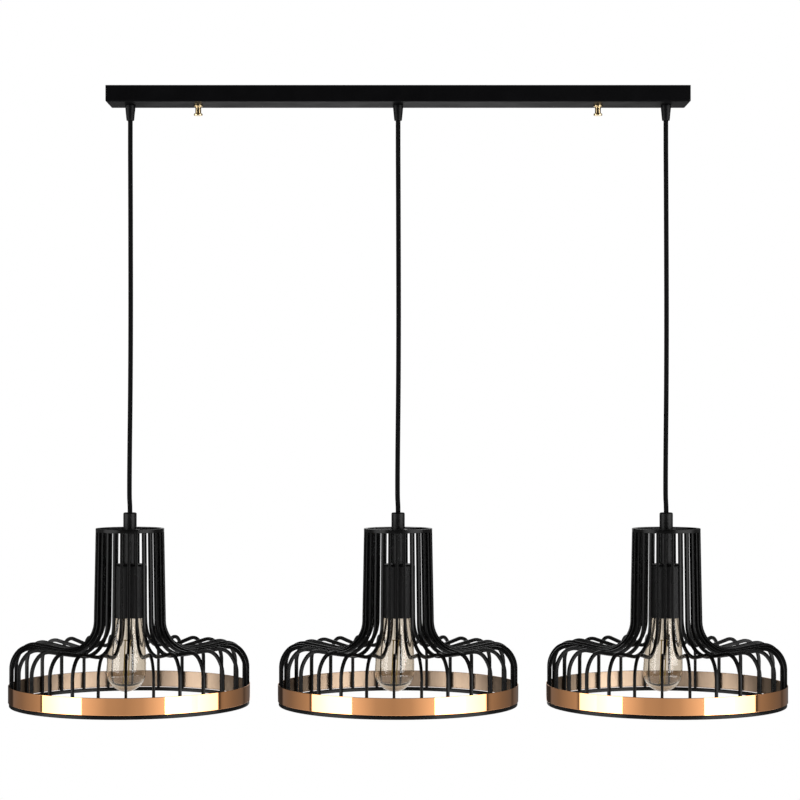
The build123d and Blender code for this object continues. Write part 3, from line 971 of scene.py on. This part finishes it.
class CHANDELIER_OT_top_plates(bpy.types.Operator):
    """Cuts the top plates: a flat ring with three arms to a hub"""

    bl_idname = "chandelier.top_plates"
    bl_label = "Top plates"

    node = "middle_cage_top_plate"
    arms = 3
    ring_steps = 120
    hub_steps = 24
    arm_faces = 3
    first_arm = 15.0
    ring_width = 0.0054
    hub_bore, hub_radius = 0.00505, 0.010
    corner_angle = math.radians(60)

    def execute(self, context):
        edge = context.scene.chandelier_shade.plate_edge
        outer = radius_of(self.node)
        inner = outer - self.ring_width
        hub = self.washer(self.hub_bore, self.hub_radius, self.hub_steps)
        bm = join_shapes(self.washer(inner, outer, self.ring_steps), [hub])
        for arm in range(self.arms):
            self.join_arm(bm, arm * math.tau / self.arms, inner)
        bmesh.ops.recalc_face_normals(bm, faces=bm.faces)
        bm.normal_update()
        corners = [e for e in bm.edges if e.is_manifold and e.calc_face_angle() > self.corner_angle]
        bmesh.ops.bevel(bm, geom=corners, offset=edge, offset_type="OFFSET", affect="EDGES", segments=2,
                        profile=0.5, material=-1, clamp_overlap=True)
        turn(bm, FRONT + math.radians(self.first_arm))
        set_out(bm, "top_plate", ["wire"], "cage_top_plate")
        return {"FINISHED"}

    def washer(self, inner, outer, steps):
        """A flat ring whose side faces are centred on angle zero."""
        bm = spin_ring(inner, outer, self.node, steps)
        turn(bm, -math.pi / steps)
        return bm

    def join_arm(self, bm, angle, inner):
        """Opens a few wall faces of ring and hub and bridges the two holes."""
        opened = []
        ring_wall = (self.ring_steps, inner * 0.98, inner * 1.01)
        hub_wall = (self.hub_steps, self.hub_radius * 0.95, self.hub_radius * 1.01)
        for steps, low, high in (ring_wall, hub_wall):
            reach = self.arm_faces * math.pi / steps
            for face in bm.faces:
                centre = face.calc_center_median()
                away = (math.atan2(centre.y, centre.x) - angle + math.pi) % math.tau - math.pi
                upright = abs(face.normal.z) < 0.1
                if upright and low < math.hypot(centre.x, centre.y) < high and abs(away) < reach:
                    opened.append(face)
        edges = {edge for face in opened for edge in face.edges}
        rim = [e for e in edges if sum(f in opened for f in e.link_faces) == 1]
        bmesh.ops.delete(bm, geom=opened, context="FACES")
        bmesh.ops.bridge_loops(bm, edges=[e for e in rim if e.is_valid])


class CHANDELIER_OT_wires(bpy.types.Operator):
    """Bends one shade wire and copies it round each shade"""

    bl_idname = "chandelier.wires"
    bl_label = "Shade wires"

    bend_steps = 14

    def execute(self, context):
        sizes = context.scene.chandelier_shade
        bm = self.wire(sizes)
        count = sizes.wire_count
        turn(bm, FRONT + sizes.first_wire)
        bmesh.ops.spin(bm, geom=bm.verts[:] + bm.edges[:] + bm.faces[:], cent=(0, 0, 0), axis=(0, 0, 1),
                       angle=math.tau * (count - 1) / count, steps=count - 1, use_duplicate=True)
        set_out(bm, "wires", ["wire"], "cage_wires")
        return {"FINISHED"}

    def wire(self, sizes):
        """One wire in the XZ plane: straight runs are extruded and bends are spun."""
        rim = radius_of("middle_cage_hoop") - sizes.wire_thickness / 2
        neck = WIRE_TOP - sizes.neck_drop
        hump = neck + sizes.hump_rise
        corners = [
            Vector((sizes.top_radius, 0, WIRE_TOP)),
            Vector((sizes.neck_radius, 0, neck)),
            Vector((rim - sizes.hump_inset, 0, hump)),
            Vector((rim, 0, hump - sizes.shoulder_fall)),
            Vector((rim, 0, HOOP_TOP)),
        ]
        bends = (sizes.neck_bend, sizes.hump_bend, sizes.shoulder_bend, 0.0)
        bm = bmesh.new()
        bmesh.ops.create_grid(bm, x_segments=1, y_segments=1, size=0.5)
        bmesh.ops.scale(bm, vec=(sizes.wire_thickness, sizes.wire_width, 1), verts=bm.verts)
        bmesh.ops.bevel(bm, geom=bm.verts[:], offset=sizes.wire_edge, offset_type="OFFSET", affect="VERTICES",
                        segments=3, profile=0.5, material=-1)
        move(bm, corners[0])
        tip = bm.faces[:]
        spot = corners[0]
        for index, bend in enumerate(bends):
            heading = (corners[index + 1] - corners[index]).normalized()
            swerve = 0.0
            if bend:
                onward = (corners[index + 2] - corners[index + 1]).normalized()
                swerve = heading.angle(onward)
            goal = corners[index + 1] - heading * bend * math.tan(swerve / 2)
            tip = draw_out(bm, tip, goal - spot)
            spot = goal
            if bend:
                axis = heading.cross(onward).normalized()
                centre = spot + axis.cross(heading) * bend
                tip = self.bend(bm, tip, centre, axis, swerve)
                spot = centre + Matrix.Rotation(swerve, 3, axis) @ (spot - centre)
        bmesh.ops.recalc_face_normals(bm, faces=bm.faces)
        return bm

    def bend(self, bm, tip, centre, axis, swerve):
        spun = bmesh.ops.spin(bm, geom=tip, cent=centre, axis=axis, angle=swerve, steps=self.bend_steps,
                              use_duplicate=False)
        bmesh.ops.delete(bm, geom=[face for face in tip if face.is_valid], context="FACES_ONLY")
        return [item for item in spun["geom_last"] if isinstance(item, bmesh.types.BMFace)]


class CHANDELIER_OT_hoops(bpy.types.Operator):
    """Rolls the black hoops under the wires"""

    bl_idname = "chandelier.hoops"
    bl_label = "Rim hoops"

    def execute(self, context):
        sizes = context.scene.chandelier_shade
        outer = radius_of("middle_cage_hoop")
        edges = {index: sizes.hoop_edge for index in range(4)}
        shape = spin_ring(outer - sizes.wire_thickness, outer, "middle_cage_hoop", 224, edges)
        set_out(shape, "hoop", ["wire"], "cage_hoop")
        return {"FINISHED"}


class CHANDELIER_OT_bands(bpy.types.Operator):
    """Rolls the copper bands: polished outside, satin inside"""

    bl_idname = "chandelier.bands"
    bl_label = "Copper bands"

    wall = 0.0012
    # A face belongs to the inside where it looks at the axis by at least this share.
    inward = 0.9

    def execute(self, context):
        outer = radius_of("middle_copper_band")
        edges = {index: context.scene.chandelier_shade.band_edge for index in range(4)}
        shape = spin_ring(outer - self.wall, outer, "middle_copper_band", 256, edges)
        for face in shape.faces:
            centre = face.calc_center_median()
            if face.normal.dot(Vector((centre.x, centre.y, 0))) < -self.inward * outer:
                face.material_index = 1
        set_out(shape, "band", ["copper", "inside"], "copper_band")
        return {"FINISHED"}


class CHANDELIER_OT_cups(bpy.types.Operator):
    """Draws the holder cups and paints the lamp holders inside"""

    bl_idname = "chandelier.cups"
    bl_label = "Holder cups"

    bore = 0.00505
    # Rounding of the lip in shares of the wall
    lip = 0.45

    def execute(self, context):
        sizes = context.scene.chandelier_fittings
        wall = sizes.cup_wall
        outer = radius_of("middle_holder_cup")
        inner = outer - wall
        top, bottom = top_of("middle_holder_cup"), bottom_of("middle_holder_cup")
        outline = [(self.bore, top), (outer, top), (outer, bottom), (inner, bottom), (inner, top - wall),
                   (self.bore, top - wall)]
        rounded = {1: sizes.cup_edge, 2: wall * self.lip, 3: wall * self.lip, 4: sizes.cup_edge - wall}
        set_out(spin_outline(outline, 96, rounded), "cup", ["tube"], "holder_cup")
        repaint_sides({"lamp_holder": "holder", "socket_contacts": "contact"})
        return {"FINISHED"}


class CHANDELIER_OT_bulbs(bpy.types.Operator):
    """Blows the amber bulbs with their screw caps and filaments"""

    bl_idname = "chandelier.bulbs"
    bl_label = "Bulbs"

    # Glass: the neck reaches into the cap. Mouth and flank are (radius, drop below the cap) of its outline.
    neck_radius = 0.01275
    neck_lap = 0.004
    mouth = (0.0206, 0.030)
    flank = (0.0273, 0.070)
    # Handle of a quarter circle, in shares of its radius
    quarter_handle = 0.5523

    # Cap: its crown stands above the screw shell. One tooth of the rolled thread is a wave from root to root.
    crown_height = 0.002
    thread_steps = 48
    thread_top_drop = 0.0055
    thread_bottom_rise = 0.003
    tooth_wave = ((0.0, 0.0), (0.12, 0.12), (0.3, 0.75), (0.5, 1.0), (0.7, 0.75), (0.88, 0.12), (1.0, 0.0))
    shell_inside = 0.96
    weld = 1e-6

    # Filaments between two carriers
    rod_count = 4
    rods_drop, rods_length = 0.088, 0.0656
    carrier_radius, carrier_height, carrier_edge = 0.0064, 0.0008, 0.0002

    def execute(self, context):
        sizes = context.scene.chandelier_fittings
        glass, cap, stem, rods = self.glass(sizes), self.cap(sizes), self.stem(), self.rods(sizes)
        pivot = (0, 0, CAP_TIP - self.crown_height - sizes.cap_length / 2)
        lean = Matrix.Rotation(sizes.bulb_lean, 3, "Y")
        for shape in (glass, cap, stem, rods):
            bmesh.ops.rotate(shape, verts=shape.verts, cent=pivot, matrix=lean)
        for side in SIDES:
            body = f"{side}_bulb"
            made = add_piece(f"{side}_glass", place_copy(glass, side), ["amber"], body,
                             [f"{side}_bulb_glass"])
            wall = made.modifiers.new("glass_wall", "SOLIDIFY")
            wall.thickness = sizes.glass_wall
            wall.offset = -1.0
            wall.use_even_offset = True
            add_piece(f"{side}_screw_cap", place_copy(cap, side), ["cap"], body,
                      [f"{side}_bulb_cap"])
            add_piece(f"{side}_filaments", place_copy(rods, side), ["filament"], body,
                      [f"{side}_bulb_filament"])
            add_piece(f"{side}_glass_stem", place_copy(stem, side), ["stem"], body)
        for shape in (glass, cap, stem, rods):
            shape.free()
        return {"FINISHED"}

    def shell_end(self, sizes):
        """Level of the screw shell's lower end, where the glass comes out."""
        return CAP_TIP - self.crown_height - sizes.cap_length

    def glass(self, sizes):
        """The bulb's outline is one Bezier line from neck to tip, spun round."""
        belly = radius_of("middle_bulb_glass")
        throat = self.shell_end(sizes)
        neck_top = throat + self.neck_lap
        tip = neck_top - sizes.glass_length
        round_off = belly * self.quarter_handle
        curve = bpy.data.curves.new("bulb_outline", "CURVE")
        curve.dimensions = "3D"
        curve.resolution_u = 12
        spline = curve.splines.new("BEZIER")
        # Each knot has its place and the runs of its two handles.
        knots = [
            ((self.neck_radius, neck_top), (0, 0.001), (0, -0.001)),
            ((self.neck_radius, throat), (0, 0.001), (0, -0.008)),
            ((self.mouth[0], throat - self.mouth[1]), (-0.0029, 0.012), (0.0029, -0.012)),
            ((self.flank[0], throat - self.flank[1]), (-0.0016, 0.013), (0.0013, -0.0105)),
            ((belly, tip + belly), (0, 0.010), (0, -round_off)),
            ((0.0, tip), (round_off, 0), (-round_off, 0)),
        ]
        spline.bezier_points.add(len(knots) - 1)
        for point, (spot, before, after) in zip(spline.bezier_points, knots):
            point.handle_left_type = point.handle_right_type = "FREE"
            point.co = (spot[0], 0, spot[1])
            point.handle_left = (spot[0] + before[0], 0, spot[1] + before[1])
            point.handle_right = (spot[0] + after[0], 0, spot[1] + after[1])
        bm = bmesh.new()
        take_in(bm, curve_mesh(curve))
        spin_round(bm, 96)
        lowest = min(bm.faces, key=lambda face: face.calc_center_median().z)
        if lowest.normal.z > 0:
            bmesh.ops.reverse_faces(bm, faces=bm.faces)
        return bm

    def cap(self, sizes):
        """A rolled screw thread on a thin shell, with its insulator and centre contact above."""
        outer, top, bottom = radius_of("middle_bulb_cap"), CAP_TIP, self.shell_end(sizes)
        root = outer - sizes.thread_depth
        thread_top, thread_bottom = top - self.thread_top_drop, bottom + self.thread_bottom_rise
        bm = self.thread(sizes, outer, thread_top, thread_bottom)
        skirt = [(root, thread_bottom), (outer - 0.0002, bottom), (outer - 0.0004, bottom),
                 (root - 0.0004, thread_bottom)]
        crown = [(root, thread_top), (root - 0.0008, thread_top + 0.0012), (0.0092, top - 0.0022),
                 (0.0048, top - 0.0003), (0.0036, top), (0.0, top), (0.0, top - 0.004), (0.011, thread_top)]
        join_shapes(bm, [spin_outline(outline, self.thread_steps) for outline in (skirt, crown)])
        bmesh.ops.recalc_face_normals(bm, faces=bm.faces)
        return bm

    def thread(self, sizes, outer, top, bottom):
        """A spun tooth, cut level at both ends and closed by a smooth wall inside."""
        pitch, depth, steps = sizes.thread_pitch, sizes.thread_depth, self.thread_steps
        bm = bmesh.new()
        start = bottom - pitch
        tooth = [bm.verts.new((outer - depth * (1.0 - rise), 0, start + pitch * along))
                 for along, rise in self.tooth_wave]
        for pair in zip(tooth, tooth[1:]):
            bm.edges.new(pair)
        turns = math.ceil((top - bottom) / pitch) + 1
        bmesh.ops.spin(bm, geom=bm.verts[:] + bm.edges[:], cent=(0, 0, 0), dvec=(0, 0, pitch / steps),
                       axis=(0, 0, 1), angle=math.tau * turns, steps=steps * turns, use_duplicate=False)
        bmesh.ops.remove_doubles(bm, verts=bm.verts, dist=self.weld)
        for level, outward in ((top, 1), (bottom, -1)):
            everything = bm.verts[:] + bm.edges[:] + bm.faces[:]
            bmesh.ops.bisect_plane(bm, geom=everything, plane_co=(0, 0, level), plane_no=(0, 0, outward),
                                   clear_outer=True)
        bmesh.ops.remove_doubles(bm, verts=bm.verts, dist=self.weld)
        ends = [edge for edge in bm.edges if edge.is_boundary]
        rims = bmesh.ops.extrude_edge_only(bm, edges=ends)["geom"]
        rim_verts = [item for item in rims if isinstance(item, bmesh.types.BMVert)]
        bmesh.ops.scale(bm, vec=(self.shell_inside, self.shell_inside, 1.0), verts=rim_verts)
        bmesh.ops.bridge_loops(bm, edges=[edge for edge in bm.edges if edge.is_boundary])
        return bm

    def stem(self):
        """The glass mount that carries the filaments."""
        top = CAP_TIP - 0.005
        outline = [(0.0, top), (0.0058, top), (0.0046, top - 0.030), (0.0032, top - 0.070),
                   (0.0026, top - 0.0805), (0.0, top - 0.0828)]
        return spin_outline(outline, 40, {2: 0.004, 3: 0.004, 4: 0.0012})

    def rods(self, sizes):
        """Straight coated filaments between two small carriers."""
        top = CAP_TIP - self.rods_drop
        bottom = top - self.rods_length
        rods_top, rods_bottom = top - self.carrier_height, bottom + self.carrier_height
        edges = {1: self.carrier_edge, 2: self.carrier_edge}
        upper = spin_disc(self.carrier_radius, top, rods_top, 40, edges)
        shapes = [spin_disc(self.carrier_radius, rods_bottom, bottom, 40, edges)]
        for number in range(self.rod_count):
            rod = spin_disc(sizes.filament_radius, rods_top, rods_bottom, 16)
            angle = (number + 0.5) * math.tau / self.rod_count
            move(rod, (sizes.filament_circle * math.cos(angle), sizes.filament_circle * math.sin(angle), 0))
            shapes.append(rod)
        return join_shapes(upper, shapes)


class CHANDELIER_PT_panel(bpy.types.Panel):
    """Lists the pieces of the chandelier"""

    bl_idname = "CHANDELIER_PT_panel"
    bl_label = "Island chandelier"
    bl_space_type = "VIEW_3D"
    bl_region_type = "UI"
    bl_category = "Chandelier"

    def draw(self, context):
        for operator in OPERATORS:
            self.layout.operator(operator.bl_idname)
        for name in SETTINGS:
            settings = getattr(context.scene, name)
            box = self.layout.box()
            for prop in settings.bl_rna.properties:
                if prop.identifier not in ("name", "rna_type"):
                    box.prop(settings, prop.identifier)


SETTINGS = {
    "chandelier_shade": ShadeSizes,
    "chandelier_fittings": FittingSizes,
    "chandelier_finishes": FinishColours,
    "chandelier_stage": StageSettings,
}
OPERATORS = (
    CHANDELIER_OT_stage,
    CHANDELIER_OT_cords,
    CHANDELIER_OT_leads,
    CHANDELIER_OT_bar,
    CHANDELIER_OT_glands,
    CHANDELIER_OT_nuts,
    CHANDELIER_OT_stems,
    CHANDELIER_OT_top_plates,
    CHANDELIER_OT_wires,
    CHANDELIER_OT_hoops,
    CHANDELIER_OT_bands,
    CHANDELIER_OT_cups,
    CHANDELIER_OT_bulbs,
)


def register():
    for kind in (*SETTINGS.values(), *OPERATORS, CHANDELIER_PT_panel):
        bpy.utils.register_class(kind)
    for name, kind in SETTINGS.items():
        setattr(bpy.types.Scene, name, PointerProperty(type=kind))


def unregister():
    for name in SETTINGS:
        delattr(bpy.types.Scene, name)
    for kind in (CHANDELIER_PT_panel, *reversed(OPERATORS), *reversed(SETTINGS.values())):
        bpy.utils.unregister_class(kind)


def main():
    register()
    mix_finishes(bpy.context.scene.chandelier_finishes)
    for operator in OPERATORS:
        group, name = operator.bl_idname.split(".")
        getattr(getattr(bpy.ops, group), name)()


if __name__ == "__main__":
    main()
